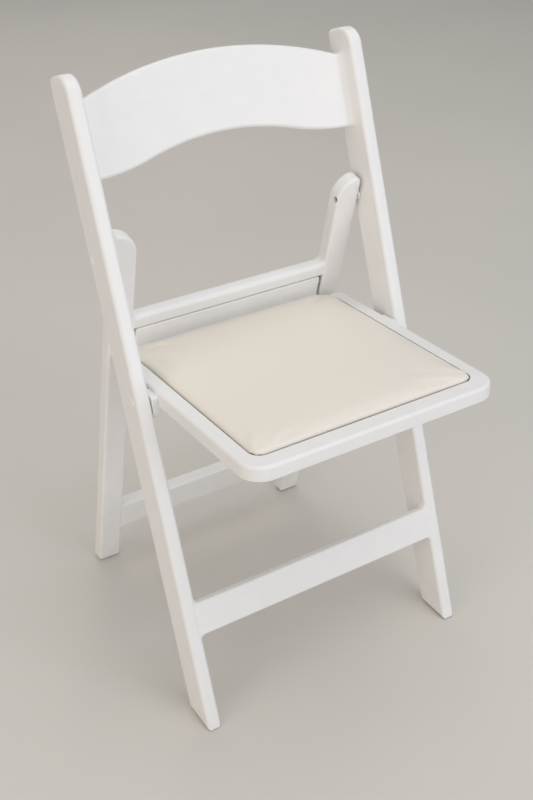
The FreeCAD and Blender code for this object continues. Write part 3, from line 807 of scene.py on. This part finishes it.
# ---------------------------------------------------------------- materials
def add(tree, kind, inputs=None, **settings):
    """Add a node, set its properties, and set or link its inputs."""
    node = tree.nodes.new(kind)
    for name, value in settings.items():
        setattr(node, name, value)
    for name, value in (inputs or {}).items():
        if isinstance(value, bpy.types.NodeSocket):
            tree.links.new(value, node.inputs[name])
        else:
            node.inputs[name].default_value = value
    return node


def new_material(name, colour, **shader):
    """A material, add() for its own tree, its shader, and the object's own coordinates."""
    material = bpy.data.materials.new(name)
    material.use_nodes = True
    material.diffuse_color = colour
    material.node_tree.nodes.clear()
    node = partial(add, material.node_tree)
    surface = node("ShaderNodeBsdfPrincipled", {"Base Color": colour, **shader})
    node("ShaderNodeOutputMaterial", {"Surface": surface.outputs["BSDF"]})
    return material, node, surface, node("ShaderNodeTexCoord").outputs["Object"]


def per_metre(millimetres):
    """Pattern scale whose features are this far apart."""
    return 1.0 / (millimetres * MM)


def shaded(colour, share):
    """A colour scaled towards black by a share."""
    return (*(c * share for c in colour[:3]), 1)


def finish_surface(node, surface, patch, limits, tones, gloss, *layers):
    """Colour and roughness led by one patchy field, under layers of relief.

    The field between its limits runs the colour from the first tone to the second and the
    roughness likewise; each layer of relief is a height, a strength and a depth in mm.
    """
    share = node("ShaderNodeMapRange", {0: patch, 1: limits[0], 2: limits[1]},
                interpolation_type="SMOOTHSTEP").outputs[0]
    tone = node("ShaderNodeMix", {0: share, 6: tones[0], 7: tones[1]}, data_type="RGBA").outputs[2]
    rough = node("ShaderNodeMapRange", {0: share, 3: gloss[0], 4: gloss[1]}).outputs[0]
    normal = {}
    for height, strength, depth in layers:
        bump = node("ShaderNodeBump", {"Height": height, "Strength": strength, "Distance": depth * MM,
                                       **normal})
        normal = {"Normal": bump.outputs[0]}
    for name, value in {"Base Color": tone, "Roughness": rough, **normal}.items():
        surface.id_data.links.new(value, surface.inputs[name])


def moulded_polypropylene(colours):
    """Injection-moulded polypropylene.

    The eye sees a satin white with a fine spark grain from the mould, faint
    unevenness where thick walls sank, and scuffs and floor dust near the feet.
    """
    base = (*colours.resin, 1)
    material, node, surface, place = new_material("moulded_polypropylene", base, IOR=1.49)
    # The mould's spark grain is about 0.15 mm; it is drawn at 0.9 mm so that it shows.
    grain = node("ShaderNodeTexNoise", {"Vector": place, "Scale": per_metre(0.9), "Detail": 3.0,
                                         "Roughness": 0.6}).outputs[0]
    sink = node("ShaderNodeTexNoise", {"Vector": place, "Scale": per_metre(95), "Detail": 1.0}).outputs[0]
    cloudy = node("ShaderNodeTexNoise", {"Vector": place, "Scale": per_metre(28), "Detail": 4.0,
                                              "Roughness": 0.62}).outputs[0]
    speck = node("ShaderNodeTexVoronoi", {"Vector": place, "Scale": per_metre(14)}).outputs["Distance"]
    height = node("ShaderNodeSeparateXYZ", {"Vector": place}).outputs["Z"]
    low_down = node("ShaderNodeMapRange", {0: height, 2: 90 * MM, 3: 1.0, 4: 0.0}).outputs[0]
    smeared = node("ShaderNodeMapRange", {0: cloudy, 1: 0.42, 2: 0.66, 4: 0.2}).outputs[0]
    dusty = node("ShaderNodeMath", {0: low_down, 1: smeared}, operation="MULTIPLY").outputs[0]
    spots = node("ShaderNodeMapRange", {0: speck, 1: 0.02, 2: 0.045, 3: 0.14, 4: 0.0}).outputs[0]
    worn = node("ShaderNodeMath", {0: dusty, 1: spots}, operation="MAXIMUM").outputs[0]
    clean = node("ShaderNodeMix", {0: worn, 6: base, 7: srgb("#B9AE9E")}, data_type="RGBA").outputs[2]
    dull = node("ShaderNodeMix", {0: 0.975, 6: shaded(base, 0), 7: clean}, data_type="RGBA").outputs[2]
    finish_surface(node, surface, cloudy, (0.3, 0.7), (dull, clean), (0.33, 0.43), (sink, 0.35, 2.5),
                   (grain, 0.16, 0.12))
    return material


def sealed_vinyl(colours):
    """Embossed vinyl sheet pulled over foam and heat-sealed round a board.

    The eye sees a soft cream with a pebbled leather grain, painted shade in the valleys between
    the pebbles, a low sheen on the pebbles, and slack ripples a hand wide.
    """
    base = (*colours.vinyl, 1)
    material, node, surface, place = new_material(
        "sealed_vinyl", base, **{"IOR": 1.53, "Specular IOR Level": 0.42})
    # Leather grain on upholstery vinyl is about 1.4 mm between valleys, bent by 1.1 mm.
    wobble = node("ShaderNodeTexNoise", {"Vector": place, "Scale": per_metre(2.6), "Detail": 2.0})
    bent = node("ShaderNodeVectorMath", {0: wobble.outputs["Color"], 1: (1.1 * MM,) * 3, 2: place},
               operation="MULTIPLY_ADD").outputs[0]
    pebble = node("ShaderNodeTexVoronoi", {"Vector": bent, "Scale": per_metre(1.4)},
                 feature="DISTANCE_TO_EDGE").outputs["Distance"]
    dome = node("ShaderNodeMapRange", {0: pebble, 2: 0.32}, interpolation_type="SMOOTHSTEP").outputs[0]
    slack = node("ShaderNodeTexNoise", {"Vector": place, "Scale": per_metre(75), "Detail": 2.0,
                                             "Roughness": 0.45}).outputs[0]
    handled = node("ShaderNodeTexNoise", {"Vector": place, "Scale": per_metre(45), "Detail": 5.0}).outputs[0]
    soiled = node("ShaderNodeMapRange", {0: handled, 1: 0.4, 2: 0.75, 4: 0.25}).outputs[0]
    body = node("ShaderNodeMix", {0: soiled, 6: base, 7: shaded(base, 0.955)}, data_type="RGBA").outputs[2]
    # The pebbles' valleys are painted 7% darker than their tops: painted shade in the grain.
    finish_surface(node, surface, dome, (0.0, 1.0), (shaded(base, 0.93), body), (0.56, 0.44), (slack, 0.4, 3),
                   (dome, 0.22, 0.16))
    return material


def two_field_material(name, base, patch, tones, gloss, relief, **shader):
    """A solid material whose colour and gloss follow one noise and whose relief follows another.

    A noise is given by the distance between its features in mm and its octaves, and the
    relief also by its strength and depth in mm. The tones are the share of the colour in
    the darker patches, and the limits between which the noise runs from dark to light.
    """
    material, node, surface, place = new_material(name, base, **shader)
    spread, fine = (node("ShaderNodeTexNoise", {"Vector": place, "Scale": per_metre(size), "Detail": octaves})
                    for size, octaves in (patch, relief[:2]))
    finish_surface(node, surface, spread.outputs[0], tones[1:], (shaded(base, tones[0]), base), gloss,
                   (fine.outputs[0], *relief[2:]))
    return material


def moulded_nylon(name, colour):
    """Injection-moulded nylon.

    The eye sees a slightly waxy solid colour with flow clouding and a fine grain.
    """
    # Flow clouding runs over a few millimetres on parts this small.
    return two_field_material(name, (*colour, 1), (4, 3), (0.93, 0.35, 0.65), (0.38, 0.5),
                              (0.6, 2, 0.15, 0.1), IOR=1.53)


def enamelled_steel(colours):
    """Steel pin heads with a baked white enamel.

    The eye sees a glossy white button with the slight orange peel of a thick coat.
    """
    # The peel is about 1.3 mm from dimple to dimple.
    return two_field_material("enamelled_steel", (*colours.enamel, 1), (3, 4), (0.94, 0.35, 0.65),
                              (0.22, 0.34), (1.3, 1.5, 0.15, 0.1),
                              **{"IOR": 1.52, "Coat Weight": 0.6, "Coat Roughness": 0.12})


def painted_bore_shade():
    """Dark steel shank of a pin, coloured dark brown as painted shade so that the bore it sits in reads deep
    and dark.

    The eye sees a dark brown, oily metal with cloudy patches.
    """
    # The dark brown is painted shade for the bore; its cloudy patches are about 2 mm across and stand a
    # little proud.
    return two_field_material("painted_bore_shade", srgb("#3A2D22"), (2, 3), (0.7, 0.35, 0.65), (0.5, 0.7),
                              (2, 3, 0.2, 0.05), Metallic=0.6)


def zinc_plated_steel():
    """Drawn steel rod and screws, bright zinc plated.

    The eye sees a cool grey metal with drawing lines along the bar and dull patches.
    """
    base = srgb("#BFC3C6")
    material, node, surface, place = new_material("zinc_plated_steel", base, Metallic=1.0)
    # Drawing lines are about 0.1 mm apart; they are drawn at 0.4 mm so that they show.
    drawn = node("ShaderNodeMapping", {"Vector": place, "Scale": (30.0, per_metre(0.4), per_metre(0.4))})
    lines = node("ShaderNodeTexNoise", {"Vector": drawn.outputs[0], "Scale": 1.0, "Detail": 2.0}).outputs[0]
    patch = node("ShaderNodeTexNoise", {"Vector": place, "Scale": per_metre(5), "Detail": 3.0}).outputs[0]
    finish_surface(node, surface, patch, (0.35, 0.65), (shaded(base, 0.82), base), (0.26, 0.42),
                   (lines, 0.2, 0.05))
    return material


def pressed_hardboard():
    """Wet-pressed hardboard.

    The eye sees a brown felt of short fibres with darker flecks and no gloss.
    """
    dark, light = srgb("#5B3F28"), srgb("#8A6644")
    material, node, surface, place = new_material("pressed_hardboard", light, **{"Specular IOR Level": 0.3})
    # Fibres are about 0.4 by 3 mm and lie in every direction, so two stretched fields are crossed.
    one = node("ShaderNodeMapping", {"Vector": place, "Scale": (per_metre(3), per_metre(0.4), per_metre(1))})
    two = node("ShaderNodeMapping", {"Vector": place, "Scale": (per_metre(0.4), per_metre(3), per_metre(1))})
    fields = [node("ShaderNodeTexNoise", {"Vector": m.outputs[0], "Scale": 1.0, "Detail": 3.0}).outputs[0]
              for m in (one, two)]
    felt = node("ShaderNodeMath", {0: fields[0], 1: fields[1]}, operation="MAXIMUM").outputs[0]
    finish_surface(node, surface, felt, (0.4, 0.75), (dark, light), (0.85, 0.7), (felt, 0.3, 0.1))
    return material


def trowelled_floor(colours):
    """Pale trowelled and sealed concrete.

    The eye sees a quiet warm grey with wide soft clouds and almost no gloss.
    """
    # The trowel's clouds are about 0.7 m apart and the grit 3 mm.
    return two_field_material("trowelled_floor", (*colours.floor, 1), (700, 5), (0.965, 0.3, 0.7),
                              (0.55, 0.66), (3, 3, 0.08, 0.2), **{"Specular IOR Level": 0.3})


def material_once(name, make, *settings):
    """The named material, made the first time it is asked for."""
    return bpy.data.materials.get(name) or make(*settings)


# ---------------------------------------------------------------- stage
def build_stage(colours):
    """Floor, soft lights and camera."""
    scene = bpy.context.scene
    reach = 14.0
    mesh = bpy.data.meshes.new("floor")
    mesh.from_pydata([(-reach, -reach, 0), (reach, -reach, 0), (reach, reach, 0), (-reach, reach, 0)],
                     [], [(0, 1, 2, 3)])
    mesh.materials.append(trowelled_floor(colours))
    floor = link("floor", mesh)
    lights = [
        ("ceiling_panel", (0.3, -0.4, 3.2), 2.6, 30, "#FFFFFF"),
        ("front_panel", (0.9, -3.2, 1.35), 2.2, 39, "#EDF3FF"),
        ("left_panel", (-3.1, -1.0, 1.2), 2.2, 30, "#FFF3E6"),
        ("back_panel_light", (0.6, 3.0, 2.4), 2.4, 14, "#FFF6EA"),
    ]
    for name, place, size, power, tone in lights:
        lamp = bpy.data.lights.new(name, "AREA")
        lamp.size = size
        lamp.energy = power
        lamp.color = srgb(tone)[:3]
        light = bpy.data.objects.new(name, lamp)
        light.location = place
        aim = Vector((0, 0, 0.45)) - Vector(place)
        light.rotation_euler = aim.to_track_quat("-Z", "Y").to_euler()
        scene.collection.objects.link(light)
    world = bpy.data.worlds.new("studio")
    world.use_nodes = True
    sky = world.node_tree.nodes["Background"]
    sky.inputs["Color"].default_value = srgb("#F2F4F8")
    sky.inputs["Strength"].default_value = 0.46
    scene.world = world
    scene.view_settings.view_transform = "Standard"
    scene.view_settings.look = "None"
    add_camera(scene)


def add_camera(scene):
    """Camera above the chair's left front, turned to face it and rolled half a degree."""
    azimuth, elevation, roll = (math.radians(a) for a in (-32.42, 32.37, 0.5))
    away = Vector((math.sin(azimuth) * math.cos(elevation), -math.cos(azimuth) * math.cos(elevation),
                   math.sin(elevation)))
    right = (-away).cross(Vector((0, 0, 1))).normalized()
    up = right.cross(-away)
    right, up = (math.cos(roll) * right + math.sin(roll) * up, math.cos(roll) * up - math.sin(roll) * right)
    data = bpy.data.cameras.new("camera")
    data.sensor_fit = "HORIZONTAL"
    data.sensor_width, data.lens, data.clip_end = 36, 77.87, 60
    data.shift_x, data.shift_y = 0.00295, -0.02976
    camera = bpy.data.objects.new("camera", data)
    turn = Matrix((right, up, away)).transposed().to_4x4()
    camera.matrix_world = Matrix.Translation((-0.72797, -1.11932, 1.23974)) @ turn
    scene.collection.objects.link(camera)
    scene.camera = camera


# ---------------------------------------------------------------- operators
class ChairOperator:
    """What every operator of this add-on shares: its settings and its materials."""

    bl_options = {"REGISTER", "UNDO"}

    @property
    def sizes(self):
        return bpy.context.scene.chair_frame_sizes

    @property
    def seat_sizes(self):
        return bpy.context.scene.chair_seat_sizes

    @property
    def colours(self):
        return bpy.context.scene.chair_colours

    @property
    def resin(self):
        return material_once("moulded_polypropylene", moulded_polypropylene, self.colours)

    @property
    def nylon(self):
        name = "white_nylon_moulding"
        return material_once(name, moulded_nylon, name, self.colours.fittings)

    @property
    def steel(self):
        return material_once("zinc_plated_steel", zinc_plated_steel)


class CHAIR_OT_front_frame(ChairOperator, bpy.types.Operator):
    """Build the front rails, the back panel and the front stretcher."""

    bl_idname = "chair.front_frame"
    bl_label = "Front frame"

    def execute(self, context):
        sizes, blend = self.sizes, self.sizes.board_blend
        build_front_rails(sizes, self.resin)
        build_back_panel(sizes, self.resin)
        build_board("front_stretcher_moulding", "front_stretcher", "front_frame", self.resin,
                    (sizes.board_edge,) * 2, sizes.rail_edge, (blend,) * 2, (BOARD_FLARE,) * 2)
        return {"FINISHED"}


class CHAIR_OT_rear_frame(ChairOperator, bpy.types.Operator):
    """Build the rear legs, the cross rail behind the seat and the rear stretcher."""

    bl_idname = "chair.rear_frame"
    bl_label = "Rear frame"

    def execute(self, context):
        sizes, blend = self.sizes, self.sizes.board_blend
        build_rear_legs(sizes, self.resin)
        build_board("cross_rail_moulding", "rear_cross_rail", "rear_frame", self.resin,
                    (1.5 * MM, sizes.cross_edge), sizes.leg_edge, (0, sizes.cross_blend), (0, CROSS_FLARE))
        build_board("rear_stretcher_moulding", "rear_stretcher", "rear_frame", self.resin,
                    (sizes.board_edge,) * 2, sizes.leg_edge, (blend,) * 2, (BOARD_FLARE,) * 2)
        return {"FINISHED"}


class CHAIR_OT_seat_shell(ChairOperator, bpy.types.Operator):
    """Build the moulded seat with its rim, recess, ribs and screw posts."""

    bl_idname = "chair.seat_shell"
    bl_label = "Seat shell"

    def execute(self, context):
        build_seat_shell(self.seat_sizes, self.resin)
        return {"FINISHED"}


class CHAIR_OT_seat_lip(ChairOperator, bpy.types.Operator):
    """Build the lip board across the back of the seat."""

    bl_idname = "chair.seat_lip"
    bl_label = "Seat lip"

    def execute(self, context):
        build_lip(self.resin)
        return {"FINISHED"}


class CHAIR_OT_cushion(ChairOperator, bpy.types.Operator):
    """Build the vinyl cushion."""

    bl_idname = "chair.cushion"
    bl_label = "Cushion"

    def execute(self, context):
        build_cushion(self.seat_sizes, material_once("sealed_vinyl", sealed_vinyl, self.colours))
        return {"FINISHED"}


class CHAIR_OT_hinge_hardware(ChairOperator, bpy.types.Operator):
    """Build the pins, their washers and the hinge blocks."""

    bl_idname = "chair.hinge_hardware"
    bl_label = "Pins, washers and hinge blocks"

    def execute(self, context):
        # The pins' shanks take the dark brown painted shade of their bores.
        build_pins(material_once("enamelled_steel", enamelled_steel, self.colours),
                   material_once("painted_bore_shade", painted_bore_shade))
        build_washers(self.nylon)
        build_hinge_blocks(self.nylon)
        return {"FINISHED"}


class CHAIR_OT_slide(ChairOperator, bpy.types.Operator):
    """Build the slide rod and its bushes."""

    bl_idname = "chair.slide"
    bl_label = "Slide rod"

    def execute(self, context):
        build_slide(self.steel, self.nylon)
        return {"FINISHED"}


class CHAIR_OT_underside(ChairOperator, bpy.types.Operator):
    """Build the hardboard and screws under the cushion."""

    bl_idname = "chair.underside"
    bl_label = "Board and screws"

    def execute(self, context):
        build_underside(material_once("pressed_hardboard", pressed_hardboard), self.steel)
        return {"FINISHED"}


class CHAIR_OT_glides(ChairOperator, bpy.types.Operator):
    """Build the tan glides under the four feet."""

    bl_idname = "chair.glides"
    bl_label = "Foot glides"

    def execute(self, context):
        name = "tan_nylon_moulding"
        build_glides(material_once(name, moulded_nylon, name, self.colours.glides))
        return {"FINISHED"}


class CHAIR_OT_stage(ChairOperator, bpy.types.Operator):
    """Build the floor, the lights and the camera."""

    bl_idname = "chair.stage"
    bl_label = "Floor, lights and camera"

    def execute(self, context):
        build_stage(self.colours)
        return {"FINISHED"}


OPERATORS = (
    CHAIR_OT_front_frame, CHAIR_OT_rear_frame, CHAIR_OT_seat_shell, CHAIR_OT_seat_lip,
    CHAIR_OT_cushion, CHAIR_OT_hinge_hardware, CHAIR_OT_slide, CHAIR_OT_underside,
    CHAIR_OT_glides, CHAIR_OT_stage,
)


class CHAIR_PT_build(bpy.types.Panel):
    """Lists the settings and the steps that build the chair."""

    bl_idname = "CHAIR_PT_build"
    bl_label = "Folding chair"
    bl_space_type = "VIEW_3D"
    bl_region_type = "UI"
    bl_category = "Chair"

    def draw(self, context):
        for group in (context.scene.chair_frame_sizes, context.scene.chair_seat_sizes,
                      context.scene.chair_colours):
            box = self.layout.box()
            for name in group.bl_rna.properties.keys():
                if name not in ("rna_type", "name"):
                    box.prop(group, name)
        for step in OPERATORS:
            self.layout.operator(step.bl_idname)


CLASSES = (ChairFrameSizes, ChairSeatSizes, ChairColours, *OPERATORS, CHAIR_PT_build)


def register():
    for kind in CLASSES:
        bpy.utils.register_class(kind)
    bpy.types.Scene.chair_frame_sizes = bpy.props.PointerProperty(type=ChairFrameSizes)
    bpy.types.Scene.chair_seat_sizes = bpy.props.PointerProperty(type=ChairSeatSizes)
    bpy.types.Scene.chair_colours = bpy.props.PointerProperty(type=ChairColours)


def unregister():
    del bpy.types.Scene.chair_colours
    del bpy.types.Scene.chair_seat_sizes
    del bpy.types.Scene.chair_frame_sizes
    for kind in reversed(CLASSES):
        bpy.utils.unregister_class(kind)


def main():
    """Register the add-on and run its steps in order."""
    register()
    for step in OPERATORS:
        getattr(bpy.ops.chair, step.bl_idname.split(".")[1])()


if __name__ == "__main__":
    main()
